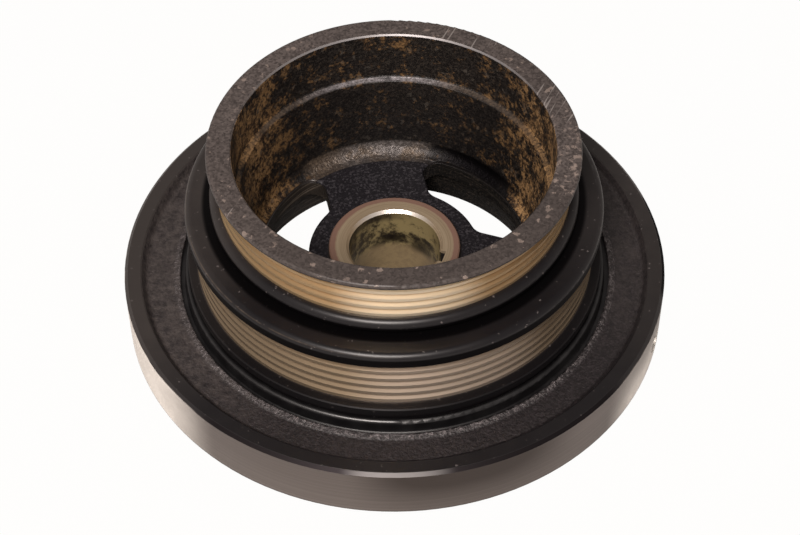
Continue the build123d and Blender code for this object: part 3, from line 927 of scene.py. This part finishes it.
    # Painted contact shadow along the lowest edge of the side.
    ring_contact_shadow: colour_setting("Ring foot", "Dark lower edge of the side of the ring", (0.018, 0.012, 0.010))
    rubber: colour_setting("Rubber", "Damper rubber", (0.0030, 0.0027, 0.0032))
    bloom: colour_setting("Bloom", "Grey bloom on the rubber", (0.010, 0.0095, 0.010))


class BalancerStudio(bpy.types.PropertyGroup):
    """Floor, light and camera."""

    floor: colour_setting("Floor", "Pale floor", (0.52, 0.515, 0.51))
    tint: colour_setting("Tint", "Warm tint of the light", (1.0, 0.91, 0.86))
    key_power: FloatProperty(
        name="Key light", description="Power of the softbox", default=13.0, min=0.0, unit="POWER"
    )
    sky: FloatProperty(name="Sky", description="Strength of the surroundings", default=0.42, min=0.0)
    lens: FloatProperty(name="Lens", description="Focal length", default=91.36, min=10.0, unit="CAMERA")


# --- operators -------------------------------------------------------------------------
def dress(node, material):
    """Puts a material into every slot of a CAD node."""
    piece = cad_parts[node]
    if not piece.material_slots:
        piece.data.materials.append(material)
    for slot in piece.material_slots:
        slot.material = material


class BALANCER_OT_hub(bpy.types.Operator):
    """Paint, rust, belt tracks and machined faces of the hub"""

    bl_idname = "balancer.hub"
    bl_label = "Finish hub"

    def execute(self, context):
        build_groups()
        material, graph, shader = new_material("Painted Casting")
        apply_finish(graph, shader, hub_finish(graph, context.scene.balancer_look), HUB_SHINE)
        dress("pulley_hub", material)
        return {"FINISHED"}


class BALANCER_OT_rubber(bpy.types.Operator):
    """Rubber ring between the hub and the inertia ring"""

    bl_idname = "balancer.rubber"
    bl_label = "Finish rubber"

    def execute(self, context):
        build_groups()
        material, graph, shader = new_material("Damper Rubber")
        apply_finish(graph, shader, rubber_finish(graph, context.scene.balancer_look), RUBBER_SHINE)
        dress("rubber_ring", material)
        return {"FINISHED"}


class BALANCER_OT_ring(bpy.types.Operator):
    """Worn inertia ring"""

    bl_idname = "balancer.ring"
    bl_label = "Finish ring"

    def execute(self, context):
        build_groups()
        material, graph, shader = new_material("Worn Iron")
        apply_finish(graph, shader, ring_finish(graph, context.scene.balancer_look))
        dress("inertia_ring", material)
        return {"FINISHED"}


def build_floor(studio):
    """A wide pale floor that looks white and keeps a faint shadow."""
    bpy.ops.object.select_all(action="DESELECT")
    bpy.ops.mesh.primitive_plane_add(size=FLOOR_SIZE, location=(0.0, 0.0, 0.0))
    floor = bpy.context.object
    floor.name = "studio_floor"
    material = bpy.data.materials.new("Studio Floor")
    material.use_nodes = True
    material.node_tree.nodes.clear()
    graph = Graph(material.node_tree)
    matt = graph.add("ShaderNodeBsdfDiffuse")
    graph.feed(matt.inputs["Color"], studio.floor)
    glow = graph.add("ShaderNodeEmission")
    graph.feed(glow.inputs["Color"], WHITE)
    seen = graph.add("ShaderNodeLightPath").outputs["Is Camera Ray"]
    mix = graph.add("ShaderNodeMixShader")
    graph.feed(mix.inputs[0], graph.product(seen, FLOOR_GLOW))
    graph.feed(mix.inputs[1], matt.outputs[0])
    graph.feed(mix.inputs[2], glow.outputs[0])
    output = graph.add("ShaderNodeOutputMaterial")
    graph.feed(output.inputs["Surface"], mix.outputs[0])
    floor.data.materials.append(material)


def build_sky(studio):
    """Surroundings that are bright near the horizon and on the left, and white for the camera."""
    world = bpy.data.worlds.new("Studio Sky")
    bpy.context.scene.world = world
    world.use_nodes = True
    world.node_tree.nodes.clear()
    graph = Graph(world.node_tree)
    split = graph.add("ShaderNodeSeparateXYZ")
    graph.feed(split.inputs[0], graph.add("ShaderNodeTexCoord").outputs["Generated"])
    overhead = graph.blend(graph.rise(split.outputs["Z"], *SKY_OVERHEAD_RANGE), 1.0, SKY_OVERHEAD)
    sideways = graph.blend(graph.rise(split.outputs["X"], *SKY_ACROSS_RANGE), SKY_LEFT, SKY_RIGHT)
    strength = graph.product(overhead, sideways, studio.sky)
    seen = graph.add("ShaderNodeLightPath").outputs["Is Camera Ray"]
    background = graph.add("ShaderNodeBackground")
    graph.feed(background.inputs["Color"], graph.blend(seen, studio.tint, WHITE))
    graph.feed(background.inputs["Strength"], graph.blend(seen, strength, 1.0))
    output = graph.add("ShaderNodeOutputWorld")
    graph.feed(output.inputs["Surface"], background.outputs[0])


def aim(piece, place, target):
    """Puts a lamp or camera at a place, looking at a target."""
    piece.location = place
    piece.rotation_euler = (Vector(target) - Vector(place)).to_track_quat("-Z", "Y").to_euler()


def build_lamp(name, place, target, size, power, colour):
    data = bpy.data.lights.new(name, "AREA")
    data.shape = "DISK"
    data.size = size
    data.energy = power
    data.color = colour
    lamp = bpy.data.objects.new(name, data)
    bpy.context.scene.collection.objects.link(lamp)
    aim(lamp, place, target)


def build_camera(studio):
    """Camera over the front of the part."""
    data = bpy.data.cameras.new("studio_camera")
    data.lens = studio.lens
    data.sensor_width = SENSOR_WIDTH
    camera = bpy.data.objects.new("studio_camera", data)
    bpy.context.scene.collection.objects.link(camera)
    forward = Vector((
        math.sin(CAMERA_YAW) * math.cos(CAMERA_PITCH),
        math.cos(CAMERA_YAW) * math.cos(CAMERA_PITCH),
        -math.sin(CAMERA_PITCH),
    ))
    right = Vector((math.cos(CAMERA_YAW), -math.sin(CAMERA_YAW), 0.0))
    up = right.cross(forward)
    rolled_right = math.cos(CAMERA_ROLL) * right + math.sin(CAMERA_ROLL) * up
    rolled_up = math.cos(CAMERA_ROLL) * up - math.sin(CAMERA_ROLL) * right
    turn = Matrix((rolled_right, rolled_up, -forward)).transposed()
    camera.matrix_world = Matrix.Translation(CAMERA_PLACE) @ turn.to_4x4()
    bpy.context.scene.camera = camera


class BALANCER_OT_studio(bpy.types.Operator):
    """Pale floor, soft light and the camera"""

    bl_idname = "balancer.studio"
    bl_label = "Build studio"

    def execute(self, context):
        studio = context.scene.balancer_studio
        context.scene.view_settings.view_transform = "Standard"
        build_floor(studio)
        build_sky(studio)
        build_lamp("key_softbox", KEY_PLACE, KEY_TARGET, KEY_SIZE, studio.key_power, studio.tint)
        build_camera(studio)
        return {"FINISHED"}


class BALANCER_PT_panel(bpy.types.Panel):
    """Lists the steps that finish the balancer"""

    bl_idname = "BALANCER_PT_panel"
    bl_label = "Harmonic balancer"
    bl_space_type = "VIEW_3D"
    bl_region_type = "UI"
    bl_category = "Balancer"

    def draw(self, context):
        for step in STEPS:
            self.layout.operator(step.bl_idname)


STEPS = (BALANCER_OT_hub, BALANCER_OT_rubber, BALANCER_OT_ring, BALANCER_OT_studio)
CLASSES = (BalancerLook, BalancerStudio, *STEPS, BALANCER_PT_panel)


def register():
    for item in CLASSES:
        bpy.utils.register_class(item)
    bpy.types.Scene.balancer_look = PointerProperty(type=BalancerLook)
    bpy.types.Scene.balancer_studio = PointerProperty(type=BalancerStudio)


def unregister():
    del bpy.types.Scene.balancer_studio
    del bpy.types.Scene.balancer_look
    for item in reversed(CLASSES):
        bpy.utils.unregister_class(item)


def main():
    register()
    bpy.ops.balancer.hub()
    bpy.ops.balancer.rubber()
    bpy.ops.balancer.ring()
    bpy.ops.balancer.studio()


if __name__ == "__main__":
    main()
